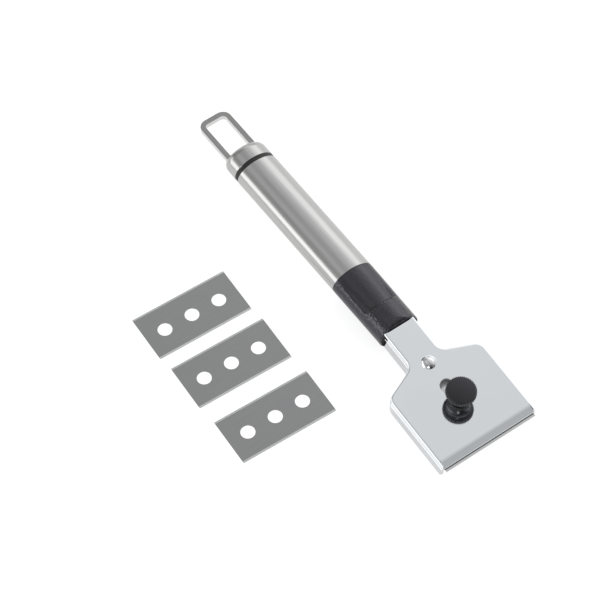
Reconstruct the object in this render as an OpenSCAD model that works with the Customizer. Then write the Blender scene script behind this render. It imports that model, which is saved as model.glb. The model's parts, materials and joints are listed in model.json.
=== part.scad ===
// Ceramic hob scraper with a clamped, sliding razor blade and three spare blades.
// The scraper lies on a table as it does in use between jobs: it stands on its end cap and on the front of
// its head. +X runs along the scraper towards the blade, +Z is up, and z = 0 is the table.
// Three frames are nested. The handle frame has its origin on the oval handle's axis at the grip's front
// face. The head frame starts there too, raised to the cover's top face and tilted nose down. The table
// frame holds the whole scraper, turned by the small angle at which it lies.

/* [Handle] */
// Width of the oval handle, side to side
handle_w = 19; // [17:0.5:24]
// Height of the oval handle
handle_h = 13; // [12:0.5:18]
// Length of the steel tube between the grip and the seal ring
tube_len = 67.4; // [50:0.2:110]
// Wall of the steel tube
tube_wall = 0.6; // [0.4:0.1:1]
// Length of the black seal ring between tube and cap
ring_len = 2.0; // [1:0.1:4]
// How far the seal ring lies below the tube's surface
ring_recess = 0.1; // [0:0.05:0.4]
// Length of the end cap
cap_len = 8.5; // [7:0.1:14]
// Length of the cap's rounded shoulder
cap_shoulder_len = 3.4; // [2:0.1:4]
// Amount by which the shoulder draws in all round
cap_shoulder_in = 2.1; // [1:0.1:2.6]
// Depth of the plug's seat inside the cap
cap_seat = 4.6; // [3:0.1:5.2]
// Length of the plug inside the tube
plug_len = 14; // [10:0.5:30]

/* [Hanging loop] */
// Outside width of the loop
loop_w = 14.6; // [12.6:0.1:15]
// Distance that the loop stands out of the cap
loop_out = 23.2; // [14:0.1:40]
// Width of the loop's bar, seen from above
loop_bar = 2.5; // [1.8:0.1:3]
// Height of the loop's bar
loop_h = 2.4; // [2:0.1:3.4]
// Outside radius of the loop's corners
loop_r = 4.2; // [3:0.1:6]
// Length of the loop's legs inside the plug, from the cap's rear face
loop_leg = 17; // [14:0.1:19]
// Radius of the cross pin that holds the loop's legs
loop_pin_r = 0.7; // [0.5:0.05:0.8]
// Distance from the cap's rear face to the cross pin
loop_pin_in = 13.5; // [11:0.1:13.9]
// How far the cross pin stands out of each leg
loop_pin_over = 0.4; // [0.2:0.1:0.6]

/* [Grip] */
// Length of the soft black grip
grip_len = 32; // [28:0.5:50]
// Extra depth of the grip's underside at its front end
grip_drop = 1.3; // [0.4:0.1:2]
// Wall of the grip over its core
grip_wall = 1.55; // [1.2:0.05:2]
// Thickness of the grip's front wall
grip_front_wall = 6.5; // [4:0.1:8]
// Radius of the grip's front edge
grip_edge = 0.7; // [0.3:0.1:1]
// Depth of the thumb recess
thumb_depth = 0.5; // [0.2:0.05:0.9]
// Distance from the grip's front face to the thumb recess
thumb_front = 11; // [9:0.5:20]
// Width of the thumb recess
thumb_w = 15.6; // [12:0.2:16.6]
// Radius of the thumb recess's front corners
thumb_r = 2.6; // [1:0.1:4]
// Length of the core's plug inside the tube
core_plug_len = 14; // [8:0.5:25]

/* [Head] */
// Angle between the head and the handle, nose down
head_tilt = 7; // [4:0.5:12]
// Height of the cover's top face above the handle's axis at the grip
plate_rise = 3.9; // [3.8:0.1:5]
// Thickness of the steel sheets
sheet = 1.2; // [1:0.1:1.5]
// Thickness of the cover's side flanges
flange_t = 0.8; // [0.6:0.1:1]
// Gap between the blade's ends and the cover's side flanges
blade_side_gap = 0.2; // [0.15:0.05:1]
// Width of the neck
neck_w = 14.4; // [12.6:0.2:18]
// Length of the straight neck
neck_len = 14.4; // [9:0.2:20]
// Radius of the hollow between neck and shoulder
neck_fillet = 4.8; // [3:0.1:7]
// Direction of the shoulder's rear edge, from the neck's direction
shoulder_angle = 67; // [55:1:80]
// Radius of the shoulder's corner
shoulder_r = 4; // [2:0.1:6]
// Distance from the grip to the front lip
lip_x = 60; // [59:0.1:64]
// Length of the bent front lip
lip_len = 2.9; // [2:0.1:3.2]
// Drop of the front lip
lip_drop = 1.2; // [0.6:0.05:1.25]
// How far the cover's flanges stop short of the lip's edge
flange_short = 0.7; // [0.3:0.1:2]
// Depth of the head from the cover's top to the flanges' bottom, at the front
head_depth = 8.3; // [6:0.1:9]
// The same depth at the neck
neck_depth = 9.2; // [6.6:0.1:9.4]
// Radius of the channel's front lower corners
channel_r = 1.8; // [1:0.1:2]
// Amount by which the channel stands proud of the cover all round
channel_proud = 0.12; // [0:0.02:0.3]
// Width of the tangs inside the grip
tang_w = 10.5; // [8:0.5:11]
// Length of the channel's tang
tang_len = 25; // [18:0.5:26]
// Length of the cover's tang
cover_tang_len = 5; // [3:0.5:5.5]
// Radius of the two pins through tang and core
tang_pin_r = 1.25; // [0.8:0.05:1.6]
// Distance from the tang's end to the rear pin
tang_pin_rear = 4.5; // [3:0.1:6]
// Distance between the two pins
tang_pin_pitch = 7.5; // [5:0.1:9]
// How far the pins' ends lie below the core's surface
tang_pin_in = 0.5; // [0.3:0.1:1]

/* [Clamp and blade] */
// Distance from the grip to the clamp stud, blade out
stud_x = 40; // [39:0.1:41]
// Travel of the blade when it is drawn in
blade_travel = 8; // [3:0.1:9]
// Radius of the stud's thread
stud_r = 2; // [1.5:0.1:2.2]
// Radius of the stud's shoulder, which the slot guides
shoulder_guide_r = 2.8; // [2.5:0.05:3.2]
// Radius of the stud's head, sunk into the carrier's underside
stud_head_r = 3.2; // [2.6:0.1:3.6]
// Thickness of the stud's head
stud_head_t = 0.6; // [0.4:0.1:0.8]
// Length of a blade, along its edges
blade_l = 43; // [36:0.1:43]
// Width of a blade, edge to edge
blade_w = 22; // [20:0.1:22.4]
// Thickness of a blade
blade_t = 0.3; // [0.2:0.05:0.4]
// Radius of the blade's three holes
blade_hole_r = 3; // [2.4:0.05:3.2]
// Distance between neighbouring holes
blade_hole_pitch = 12.7; // [10:0.1:14]
// Width of the ground bevel on each edge
blade_bevel = 0.9; // [0.4:0.1:1.5]
// How far the blade stands out of the lip
blade_out = 1; // [0.5:0.1:2]
// Thickness of the blade carrier
carrier_t = 1.2; // [1:0.1:1.5]
// Width of the blade carrier
carrier_w = 34; // [32:0.5:38]
// Distance from the stud to the carrier's rear edge
carrier_back = 4; // [3.6:0.1:6]
// Distance from the stud to the rear edge of the carrier's tongue, which fills the slot
tongue_back = 8.6; // [6:0.1:8.6]
// Width of the carrier's tongue
tongue_w = 12; // [8:0.5:16]
// Distance from the blade's middle to the carrier's front edge
carrier_ahead = 3.8; // [3.2:0.1:6]
// Radius of the peg's shank in the carrier
peg_shank_r = 1.5; // [1:0.1:2]
// Height of the thumb knob's top above the cover
knob_top = 9.5; // [7:0.1:11]
// Radius of the thumb knob's rim
knob_r = 6.2; // [5:0.1:8]
// Height of the knob's knurled rim
knob_rim = 3.1; // [1.2:0.1:4]
// Radius of the knob's foot
knob_foot_r = 3.4; // [3.2:0.05:3.6]
// Height of the knob's straight foot
knob_foot_h = 0.8; // [0.4:0.1:1.5]
// Chamfer round the knob's top face
knob_chamfer = 0.3; // [0.1:0.1:0.6]
// Depth of the knurl
knurl_depth = 0.22; // [0.1:0.02:0.4]
// Number of knurl teeth
knurl_count = 44; // [24:1:60]
// Wall of the brass insert in the knob
insert_wall = 0.7; // [0.5:0.1:1]
// Thickness of the knob's top over the insert
knob_roof = 1.4; // [1:0.1:2]
// Depth of the insert's end over the stud's end
insert_over = 0.2; // [0.1:0.05:0.5]
// Thickness of the clamp washer
washer_t = 0.5; // [0.4:0.1:0.8]
// Outside radius of the clamp washer
washer_r = 3.9; // [3.7:0.05:4.5]

/* [Neck rivet] */
// Distance from the grip to the rivet
rivet_x = 19.8; // [16:0.1:21]
// Radius of the rivet's domed head
rivet_head_r = 3.1; // [2.4:0.1:3.6]
// Height of the dome
rivet_head_h = 1.5; // [0.8:0.1:2]
// Radius of the rivet's shank
rivet_r = 1.5; // [1:0.1:1.8]
// Radius of the rivet's tail under the channel
rivet_tail_r = 2.6; // [2:0.1:3]
// Thickness of the rivet's tail
rivet_tail_t = 0.8; // [0.5:0.1:1]

/* [Spare blades] */
// Distance from the scraper's centre plane to the spare blades' centres
spare_side = 59.2; // [50:0.2:90]
// Distance from the rear spare blade to the middle one
spare_gap_rear = 28.1; // [24:0.1:45]
// Distance from the middle spare blade to the front one
spare_gap_front = 30.5; // [24:0.1:45]
// Position of the front spare blade's centre, from the grip's front face
spare_front = -1.3; // [-30:0.1:30]
// Turn of the spare blades from square to the scraper
spare_turn = -2.3; // [-10:0.5:10]

/* [Fits] */
// Gap on each side of a part that is pressed or slipped into a seat
fit = 0.05; // [0.03:0.01:0.08]
// Gap between the faces that slide or clamp
slide_gap = 0.05; // [0.03:0.01:0.1]
// Side clearance of pieces in rectangular slots
slot_gap = 0.12; // [0.08:0.02:0.2]
// Clearance round the blade's pegs
peg_gap = 0.15; // [0.1:0.01:0.25]

/* [Hidden] */
$fn = 64;

// Sides of the oval and steps of the drawn arcs
oval_steps = 72;
arc_steps = 8;
// Reach of cutting shapes past the whole part, and past the one face that they cut through
far = 60;
cut = 1;

// Stations along the handle, negative towards the loop
tube_front = -grip_len;
tube_rear = tube_front - tube_len;
ring_rear = tube_rear - ring_len;
cap_rear = ring_rear - cap_len;
cap_shoulder_x = cap_rear + cap_shoulder_len;
loop_end = cap_rear - loop_out;
leg_tip = cap_rear + loop_leg;
loop_pin_x = cap_rear + loop_pin_in;
plug_front = tube_rear + plug_len;
plug_rear = ring_rear - cap_seat;

// Section of the parts inside the tube and inside the grip
bore_w = handle_w - 2 * tube_wall;
bore_h = handle_h - 2 * tube_wall;
core_w = handle_w - 2 * grip_wall;
core_h = handle_h - 2 * grip_wall;

tang_pin_half = core_h / 2 - tang_pin_in;
tang_pin_x = [for (x = [tang_pin_pitch, 0]) x + tang_pin_rear - tang_len];
tang_lap = 3 * slot_gap;

// Levels in the head frame, counted down from the cover's top face
cover_under = -sheet;
carrier_top = cover_under - slide_gap;
carrier_under = carrier_top - carrier_t;
blade_top = carrier_under - slide_gap;
blade_under = blade_top - blade_t;
web_top = blade_under - slide_gap;
web_under = web_top - sheet;

// Levels of the tangs' top faces in the handle frame, and of the top of the grip's slot for them
channel_tang_top = plate_rise + web_top - slot_gap;
cover_tang_top = plate_rise - slot_gap;
tang_slot_top = plate_rise + 2 * slot_gap;

// Width of the head, and stations in the head frame. The head's outline starts behind the grip's face,
// where it is cut off
head_w = blade_l + 2 * (blade_side_gap + flange_t);
head_rear = -2;
lip_start = lip_x - lip_len;
flange_front = lip_x - flange_short;
blade_front = lip_x + blade_out;
blade_mid = blade_front - blade_w / 2;
fillet_c = [neck_len, neck_w / 2 + neck_fillet];
fillet_end = fillet_c + neck_fillet * [sin(shoulder_angle), -cos(shoulder_angle)];
shoulder_y = head_w / 2 - shoulder_r;
shoulder_start_y = shoulder_y + shoulder_r * cos(shoulder_angle);
shoulder_x = fillet_end[0] + (shoulder_start_y - fillet_end[1]) / tan(shoulder_angle)
    + shoulder_r * sin(shoulder_angle);
slot_r = shoulder_guide_r + slot_gap;
carrier_rear = stud_x - carrier_back;
tongue_rear = stud_x - tongue_back;
carrier_front = blade_mid + carrier_ahead;
peg_r = blade_hole_r - peg_gap;
knob_foot = slide_gap + washer_t + slide_gap;
insert_r = stud_r + insert_wall;
insert_top = knob_top - knob_roof;
stud_top = insert_top - insert_over;

// The angle at which the scraper lies, from its rear foot on the cap and its front foot on the channel
head_place = [0, plate_rise];
foot_rear = [cap_shoulder_x, -handle_h / 2];
foot_front = head_place + turned([lip_x - flange_short - channel_r, -head_depth], head_tilt);
lie_angle = atan((foot_rear[1] - foot_front[1]) / (foot_front[0] - foot_rear[0]));
lift = -turned(foot_rear, -lie_angle)[1];

// The whole set's box, centred on the origin
blade_tip = turned(head_place + turned([blade_front, (blade_top + blade_under) / 2], head_tilt), -lie_angle);
loop_tip = turned([loop_end, loop_h / 2], -lie_angle);
spare_x = [spare_front - spare_gap_front - spare_gap_rear, spare_front - spare_gap_front, spare_front];
spare_reach = blade_l / 2 * cos(spare_turn) + blade_w / 2 * abs(sin(spare_turn));
origin_x = -(blade_tip[0] + loop_tip[0]) / 2;
origin_y = (spare_side + spare_reach - head_w / 2 - channel_proud) / 2;

// A point of the x-z plane turned nose down about the y axis
function turned(p, a) = [p[0] * cos(a) + p[1] * sin(a), p[1] * cos(a) - p[0] * sin(a)];

function arc(c, r, from, to) =
    [for (i = [0:arc_steps])
        let (a = from + (to - from) * i / arc_steps)
        c + r * [cos(a), sin(a)]];

// An oval whose lower half is deeper by drop
function oval(w, h, drop = 0) =
    [for (i = [0:oval_steps - 1])
        let (a = 360 * i / oval_steps)
        [w / 2 * cos(a), (h / 2 + (sin(a) < 0 ? drop : 0)) * sin(a)]];

// Outline of the head from x0 to x1, drawn in by t on both sides
function half_outline(t, x0, x1) = concat(
    [[x0, neck_w / 2 - t]],
    arc(fillet_c, neck_fillet + t, -90, shoulder_angle - 90),
    arc([shoulder_x, shoulder_y], shoulder_r - t, shoulder_angle + 90, 90),
    [[x1, head_w / 2 - t]]);
function mirrored(pts) = [for (i = [len(pts) - 1:-1:0]) [pts[i][0], -pts[i][1]]];
function outline(t, x0, x1) = concat(half_outline(t, x0, x1), mirrored(half_outline(t, x0, x1)));

// Outline of the loop, w wide outside, from its tips to its closed end
function u_half(w, r, end_x, tip_x) =
    concat([[tip_x, w / 2]], arc([end_x + r, w / 2 - r], r, 90, 180));
function u_outline(w, r, end_x, tip_x) =
    concat(u_half(w, r, end_x, tip_x), mirrored(u_half(w, r, end_x, tip_x)));

module lying() {
    translate([origin_x, origin_y, lift])
        rotate([0, -lie_angle, 0])
            children();
}

module in_head() {
    translate([0, 0, plate_rise])
        rotate([0, head_tilt, 0])
            children();
}

// Draws a y-z section from x along the handle
module along(x, length) {
    translate([x, 0, 0])
        rotate([90, 0, 90])
            linear_extrude(height = length)
                children();
}

// Draws an x-z side view across the scraper, width wide
module across(width) {
    rotate([90, 0, 0])
        linear_extrude(height = width, center = true)
            children();
}

module box_between(low, high) {
    translate(low)
        cube(high - low);
}

// A closed skin over sections, each given as its place along the handle and its outline
module loft(sections) {
    n = len(sections[0][1]);
    last = n * (len(sections) - 1);
    points = [for (s = sections) for (p = s[1]) [s[0], p[0], p[1]]];
    sides = [for (i = [0:len(sections) - 2]) for (j = [0:n - 1])
        let (a = i * n + j, b = i * n + (j + 1) % n)
        each [[a + n, b + n, b], [a + n, b, a]]];
    polyhedron(points, concat([[for (j = [0:n - 1]) j], [for (j = [n - 1:-1:0]) last + j]], sides));
}

// Everything behind the grip's front face
module behind_grip() {
    box_between([-far, -far, -far], [slot_gap, far, far]);
}

module loop_pin_bore(r, reach) {
    translate([loop_pin_x, 0, 0])
        rotate([90, 0, 0])
            cylinder(r = r, h = reach, center = true);
}

module loop_legs(gap) {
    for (side = [-1, 1])
        translate([loop_end, side * (loop_w - loop_bar) / 2 - loop_bar / 2 - gap, -loop_h / 2 - gap])
            cube([leg_tip - loop_end + gap, loop_bar + 2 * gap, loop_h + 2 * gap]);
}

module loop_outline(inward, longer) {
    polygon(u_outline(loop_w - 2 * inward, loop_r - inward, loop_end + inward, leg_tip + longer));
}

module hanging_loop() {
    color([0.62, 0.62, 0.61])
        lying()
            difference() {
                translate([0, 0, -loop_h / 2])
                    linear_extrude(height = loop_h)
                        difference() {
                            loop_outline(0, 0);
                            loop_outline(loop_bar, cut);
                        }
                loop_pin_bore(loop_pin_r + fit, far);
            }
}

module loop_pin() {
    color([0.55, 0.55, 0.56])
        lying()
            loop_pin_bore(loop_pin_r, loop_w + 2 * loop_pin_over);
}

module end_cap() {
    shoulder = [for (i = [arc_steps:-1:0])
        let (a = 90 * i / arc_steps, draw_in = 2 * cap_shoulder_in * (1 - cos(a)))
        [cap_shoulder_x - cap_shoulder_len * sin(a), oval(handle_w - draw_in, handle_h - draw_in)]];
    color([0.74, 0.74, 0.73])
        lying()
            difference() {
                loft(concat(shoulder, [[ring_rear, oval(handle_w, handle_h)]]));
                along(plug_rear, far)
                    polygon(oval(bore_w, bore_h));
                loop_legs(fit);
            }
}

module end_plug() {
    color([0.2, 0.2, 0.21])
        lying()
            difference() {
                along(plug_rear + fit, plug_front - plug_rear - fit)
                    polygon(oval(bore_w - 2 * fit, bore_h - 2 * fit));
                loop_legs(fit);
                loop_pin_bore(loop_pin_r + fit, loop_w + 2 * (loop_pin_over + fit));
            }
}

module seal_ring() {
    color([0.1, 0.1, 0.11])
        lying()
            along(ring_rear, ring_len)
                difference() {
                    polygon(oval(handle_w - 2 * ring_recess, handle_h - 2 * ring_recess));
                    polygon(oval(bore_w, bore_h));
                }
}

module handle_tube() {
    color([0.7, 0.7, 0.69])
        lying()
            along(tube_rear, tube_len)
                difference() {
                    polygon(oval(handle_w, handle_h));
                    polygon(oval(bore_w, bore_h));
                }
}

// Tang of the channel or the cover, with its top face at the given level of the handle frame. It laps the
// head's sheet in front of the grip
module tang(length, top, gap = 0) {
    box_between(
        [-length - gap, -tang_w / 2 - gap, top - sheet - gap],
        [tang_lap, tang_w / 2 + gap, top + gap]);
}

module at_tang_pins(r, half) {
    for (x = tang_pin_x)
        translate([x, 0, -half])
            cylinder(r = r, h = 2 * half);
}

module handle_core() {
    color([0.24, 0.24, 0.25])
        lying()
            difference() {
                union() {
                    along(tube_front - core_plug_len, core_plug_len)
                        polygon(oval(bore_w - 2 * fit, bore_h - 2 * fit));
                    along(tube_front - cut, grip_len - grip_front_wall - fit + cut)
                        polygon(oval(core_w - 2 * fit, core_h - 2 * fit));
                }
                tang(tang_len, channel_tang_top, slot_gap);
                at_tang_pins(tang_pin_r + fit, far);
            }
}

module tang_pins() {
    color([0.6, 0.6, 0.61])
        lying()
            at_tang_pins(tang_pin_r, tang_pin_half);
}

module thumb_outline() {
    polygon(concat(
        [[tube_front - cut, thumb_w / 2]],
        arc([-thumb_front - thumb_r, thumb_w / 2 - thumb_r], thumb_r, 90, 0),
        arc([-thumb_front - thumb_r, thumb_r - thumb_w / 2], thumb_r, 0, -90),
        [[tube_front - cut, -thumb_w / 2]]));
}

module grip() {
    color([0.13, 0.13, 0.14])
        lying()
            difference() {
                loft([
                    [tube_front, oval(handle_w, handle_h)],
                    [-grip_edge, oval(handle_w, handle_h, grip_drop)],
                    [0, oval(handle_w - grip_edge, handle_h - grip_edge, grip_drop)]]);
                along(tube_front - cut, grip_len - grip_front_wall + cut)
                    polygon(oval(core_w, core_h));
                box_between(
                    [-grip_front_wall - cut, -tang_w / 2 - slot_gap, channel_tang_top - sheet - slot_gap],
                    [cut, tang_w / 2 + slot_gap, tang_slot_top]);
                difference() {
                    linear_extrude(height = handle_h)
                        thumb_outline();
                    along(-far, 2 * far)
                        polygon(oval(handle_w - 2 * thumb_depth, handle_h - 2 * thumb_depth));
                }
            }
}

// A band that follows the head's outline, open at both ends
module outline_band(from, to, x1) {
    difference() {
        polygon(outline(from, head_rear, x1));
        polygon(outline(to, head_rear - cut, x1 + cut));
    }
}

// Side view that trims the channel: deeper at the neck, with round front lower corners
module channel_side() {
    corner = [flange_front - channel_r, channel_r - head_depth];
    polygon(concat(
        [[head_rear, web_top], [head_rear, -neck_depth], [neck_len, -neck_depth], [shoulder_x, -head_depth]],
        arc(corner, channel_r, -90, 0),
        [[flange_front, web_top]]));
}

module rivet_bore() {
    translate([rivet_x, 0, -far])
        cylinder(r = rivet_r + fit, h = 2 * far);
}

module base_channel() {
    color([0.72, 0.73, 0.74])
        lying()
            difference() {
                union() {
                    difference() {
                        in_head()
                            intersection() {
                                union() {
                                    translate([0, 0, web_under])
                                        linear_extrude(height = sheet)
                                            polygon(outline(-channel_proud, head_rear, flange_front));
                                    translate([0, 0, -far])
                                        linear_extrude(height = far + web_top)
                                            outline_band(-channel_proud, flange_t, flange_front + cut);
                                }
                                across(2 * far)
                                    channel_side();
                            }
                        behind_grip();
                    }
                    tang(tang_len, channel_tang_top);
                }
                in_head()
                    rivet_bore();
                at_tang_pins(tang_pin_r + fit, far);
            }
}

module slot_outline() {
    rear = stud_x - blade_travel;
    translate([rear, -slot_r])
        square([blade_travel, 2 * slot_r]);
    for (x = [rear, stud_x])
        translate([x, 0])
            circle(r = slot_r);
}

module cover_plate() {
    lip_half = head_w / 2 - flange_t - slot_gap;
    color([0.8, 0.81, 0.83])
        lying()
            difference() {
                union() {
                    difference() {
                        in_head() {
                            translate([0, 0, -sheet])
                                linear_extrude(height = sheet)
                                    polygon(outline(0, head_rear, lip_start));
                            translate([0, 0, web_top + slide_gap])
                                linear_extrude(height = -web_top - slide_gap)
                                    outline_band(0, flange_t, flange_front);
                            across(2 * lip_half)
                                polygon([
                                    [lip_start - cut, 0], [lip_start, 0], [lip_x, -lip_drop],
                                    [lip_x, -lip_drop - sheet], [lip_start, -sheet],
                                    [lip_start - cut, -sheet]]);
                        }
                        behind_grip();
                    }
                    tang(cover_tang_len, cover_tang_top);
                }
                in_head() {
                    rivet_bore();
                    translate([0, 0, -far])
                        linear_extrude(height = 2 * far)
                            slot_outline();
                }
            }
}

module neck_rivet() {
    dome_r = (rivet_head_r * rivet_head_r + rivet_head_h * rivet_head_h) / (2 * rivet_head_h);
    dome_a = asin(rivet_head_r / dome_r);
    color([0.78, 0.79, 0.8])
        lying()
            in_head()
                translate([rivet_x, 0, 0])
                    rotate_extrude()
                        polygon(concat(
                            [[0, web_under - rivet_tail_t], [rivet_tail_r, web_under - rivet_tail_t],
                                [rivet_tail_r, web_under], [rivet_r, web_under], [rivet_r, 0]],
                            [for (i = [0:arc_steps - 1])
                                let (a = dome_a * (1 - i / arc_steps))
                                [dome_r * sin(a), rivet_head_h - dome_r * (1 - cos(a))]],
                            [[0, rivet_head_h]]));
}

module rivet_spacer() {
    color([0.6, 0.6, 0.61])
        lying()
            in_head()
                translate([rivet_x, 0, web_top])
                    difference() {
                        cylinder(r = rivet_head_r, h = cover_under - web_top);
                        translate([0, 0, -cut])
                            cylinder(r = rivet_r + fit, h = far);
                    }
}

module at_pegs() {
    for (side = [-1, 1])
        translate([blade_mid, side * blade_hole_pitch, 0])
            children();
}

module blade_carrier() {
    color([0.66, 0.66, 0.67])
        lying()
            in_head()
                difference() {
                    union() {
                        box_between(
                            [carrier_rear, -carrier_w / 2, carrier_under],
                            [carrier_front, carrier_w / 2, carrier_top]);
                        box_between(
                            [tongue_rear, -tongue_w / 2, carrier_under],
                            [stud_x, tongue_w / 2, carrier_top]);
                    }
                    translate([stud_x, 0, carrier_under - cut])
                        cylinder(r = stud_r + fit, h = far);
                    translate([stud_x, 0, carrier_under - cut])
                        cylinder(r = stud_head_r + fit, h = stud_head_t + fit + cut);
                    at_pegs()
                        translate([0, 0, carrier_under - cut])
                            cylinder(r = peg_shank_r + fit, h = far);
                }
}

module carrier_pegs() {
    color([0.6, 0.6, 0.61])
        lying()
            in_head()
                at_pegs() {
                    translate([0, 0, blade_under])
                        cylinder(r = peg_r, h = carrier_under - blade_under);
                    translate([0, 0, blade_under])
                        cylinder(r = peg_shank_r, h = carrier_top - blade_under);
                }
}

module clamp_stud() {
    color([0.62, 0.62, 0.64])
        lying()
            in_head()
                translate([stud_x, 0, 0]) {
                    translate([0, 0, carrier_under])
                        cylinder(r = stud_r, h = stud_top - carrier_under);
                    translate([0, 0, carrier_under])
                        cylinder(r = stud_head_r, h = stud_head_t);
                    translate([0, 0, carrier_top])
                        cylinder(r = shoulder_guide_r, h = -carrier_top - slide_gap);
                }
}

// A blade with its middle at the origin, its underside at z = 0 and its edges along y
module razor_blade() {
    half = blade_w / 2;
    flat = half - blade_bevel;
    difference() {
        across(blade_l)
            polygon([
                [-flat, 0], [flat, 0], [half, blade_t / 2],
                [flat, blade_t], [-flat, blade_t], [-half, blade_t / 2]]);
        for (i = [-1:1])
            translate([0, i * blade_hole_pitch, -cut])
                cylinder(r = blade_hole_r, h = far);
    }
}

module scraper_blade() {
    color([0.5, 0.5, 0.5])
        lying()
            in_head()
                translate([blade_mid, 0, blade_under])
                    razor_blade();
}

module clamp_washer() {
    color([0.12, 0.12, 0.13])
        lying()
            in_head()
                translate([stud_x, 0, slide_gap])
                    difference() {
                        cylinder(r = washer_r, h = washer_t);
                        translate([0, 0, -cut])
                            cylinder(r = stud_r + fit, h = far);
                    }
}

function knurl_outline() =
    [for (i = [0:2 * knurl_count - 1])
        let (a = 180 * i / knurl_count, r = i % 2 == 0 ? knob_r : knob_r - knurl_depth)
        [r * cos(a), r * sin(a)]];

module thumb_knob() {
    rim_under = knob_top - knob_rim;
    core_r = knob_r - 2 * knurl_depth;
    flare_h = rim_under - knob_foot - knob_foot_h;
    color([0.12, 0.12, 0.13])
        lying()
            in_head()
                translate([stud_x, 0, 0])
                    difference() {
                        union() {
                            translate([0, 0, rim_under])
                                linear_extrude(height = knob_rim - knob_chamfer)
                                    polygon(knurl_outline());
                            rotate_extrude()
                                polygon(concat(
                                    [[0, knob_foot], [knob_foot_r, knob_foot]],
                                    [for (i = [0:arc_steps])
                                        let (a = 90 * i / arc_steps)
                                        [knob_foot_r + (core_r - knob_foot_r) * (1 - cos(a)),
                                            rim_under - flare_h * (1 - sin(a))]],
                                    [[core_r, knob_top - knob_chamfer],
                                        [core_r - knob_chamfer, knob_top], [0, knob_top]]));
                        }
                        translate([0, 0, -cut])
                            cylinder(r = insert_r + fit, h = insert_top + fit + cut);
                    }
}

module knob_insert() {
    color([0.78, 0.66, 0.36])
        lying()
            in_head()
                translate([stud_x, 0, knob_foot])
                    difference() {
                        cylinder(r = insert_r, h = insert_top - knob_foot);
                        translate([0, 0, -cut])
                            cylinder(r = stud_r + fit, h = far);
                    }
}

module spare_blade(i) {
    color([0.5, 0.5, 0.5])
        translate([origin_x + spare_x[i - 1], origin_y - spare_side, 0])
            rotate([0, 0, spare_turn])
                razor_blade();
}

hanging_loop();
loop_pin();
end_cap();
end_plug();
seal_ring();
handle_tube();
handle_core();
tang_pins();
grip();
base_channel();
cover_plate();
neck_rivet();
rivet_spacer();
blade_carrier();
carrier_pegs();
clamp_stud();
scraper_blade();
clamp_washer();
thumb_knob();
knob_insert();
spare_blade(1);  // spare_blade_1
spare_blade(2);  // spare_blade_2
spare_blade(3);  // spare_blade_3
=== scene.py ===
"""Looks of a ceramic hob scraper: satin steel handle, soft grip, chromed head, clamp knob, spare blades.

Shapes are drawn in millimetres in the CAD model's two nested frames. The handle frame has its origin on
the oval handle's axis at the grip's front face, with x towards the blade. The head frame starts there too,
raised to the cover's top face and tilted nose down. The frame's metres come in through MM.
"""

import json
import math

import bmesh
import bpy
from mathutils import Matrix, Vector

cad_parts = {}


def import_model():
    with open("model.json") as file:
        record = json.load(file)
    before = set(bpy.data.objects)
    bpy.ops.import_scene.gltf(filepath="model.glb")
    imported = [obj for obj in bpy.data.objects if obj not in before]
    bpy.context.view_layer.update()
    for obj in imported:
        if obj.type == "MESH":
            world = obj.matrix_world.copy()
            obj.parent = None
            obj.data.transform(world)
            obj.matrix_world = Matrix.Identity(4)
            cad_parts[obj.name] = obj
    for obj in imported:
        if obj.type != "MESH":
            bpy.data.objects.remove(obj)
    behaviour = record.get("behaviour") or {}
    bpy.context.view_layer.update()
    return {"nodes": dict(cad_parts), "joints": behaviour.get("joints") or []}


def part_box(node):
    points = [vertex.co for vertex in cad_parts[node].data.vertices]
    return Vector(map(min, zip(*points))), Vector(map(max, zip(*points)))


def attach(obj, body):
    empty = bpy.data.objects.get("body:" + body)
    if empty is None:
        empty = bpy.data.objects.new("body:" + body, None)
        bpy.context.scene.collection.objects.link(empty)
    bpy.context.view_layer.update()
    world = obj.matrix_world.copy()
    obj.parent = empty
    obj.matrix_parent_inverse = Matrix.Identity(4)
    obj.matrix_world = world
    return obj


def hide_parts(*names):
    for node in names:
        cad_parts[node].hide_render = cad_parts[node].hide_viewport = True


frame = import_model()

MM = 0.001

# Handle
HANDLE_W = 19
HANDLE_H = 13
TUBE_LEN = 67.4
TUBE_WALL = 0.6
TUBE_EDGE = 0.12
RING_LEN = 2.0
CAP_LEN = 8.5
CAP_SHOULDER_LEN = 3.4
CAP_SHOULDER_IN = 2.1
CAP_SEAT = 4.6

# Hanging loop
LOOP_W = 14.6
LOOP_OUT = 23.2
LOOP_BAR = 2.5
LOOP_H = 2.4
LOOP_R = 4.2
LOOP_LEG = 17
LOOP_EDGE = 0.2
LOOP_EDGE_STEPS = 6
LOOP_TURN_STEPS = 16

# Grip
GRIP_LEN = 32
GRIP_DROP = 1.3
GRIP_EDGE = 0.8
GRIP_INSET = 0.45
GRIP_TAPER = 0.1
TAPER_FROM = -0.4
NOSE_LEN = 3
NOSE_GAP = 0.85
NOSE_SIDE = 0.6
POCKET_RIM = 0.12
POCKET_DEPTH = 0.4
GRIP_WALL = 1.55
GRIP_FRONT_WALL = 6.5
THUMB_DEPTH = 1.15
THUMB_REAR_DEPTH = 0.12
THUMB_FRONT = 11
THUMB_W = 15.6
THUMB_R = 2.6
THUMB_SIDE_SLOPE = 1.6
THUMB_FRONT_SLOPE = 1.8
THUMB_RAMP = 1.4
GRIP_STEP = 0.2
GRIP_REAR_EDGE = ((0, 0.25), (0.06, 0.1), (0.2, 0))

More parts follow.
